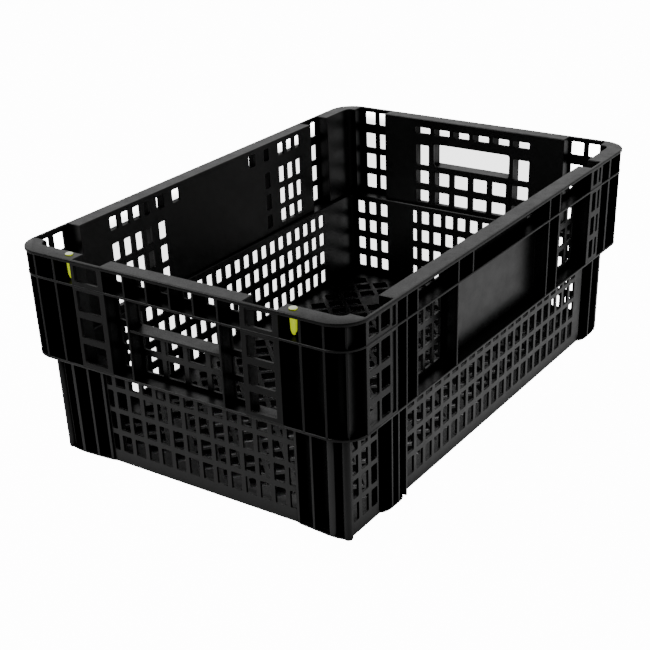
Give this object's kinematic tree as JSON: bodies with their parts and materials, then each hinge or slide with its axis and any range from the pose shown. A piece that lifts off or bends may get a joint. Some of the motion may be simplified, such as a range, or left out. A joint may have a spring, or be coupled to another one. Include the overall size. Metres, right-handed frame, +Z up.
{
  "type": "stack and nest crate",
  "caption": "Ventilated open-top storage crate of the stack and nest type, with stepped walls, hand holds and push-in orientation tags.",
  "frame": {"origin": "centre of the rim's 600 x 400 footprint, on the ground", "axes": "+X along the long side, from the tagged end towards the plain end; +Y along the short side; +Z up"},
  "size_m": [0.6, 0.4, 0.2318],
  "materials": {
    "crate_plastic": "satin near-black polypropylene, fine moulded texture, lighter worn edges",
    "tag_plastic": "satin yellow-green plastic, slightly translucent"
  },
  "bodies": {
    "crate": {"crate_body": "crate_plastic"},
    "tag_left": {"orientation_tag_left": "tag_plastic"},
    "tag_right": {"orientation_tag_right": "tag_plastic"}
  },
  "joints": [
    {"name": "tag_left_pull", "type": "slide", "parent": "crate", "child": "tag_left", "axis": [0, 0, 1], "range_m": [0, 0.03]},
    {"name": "tag_right_pull", "type": "slide", "parent": "crate", "child": "tag_right", "axis": [0, 0, 1], "range_m": [0, 0.03]}
  ]
}
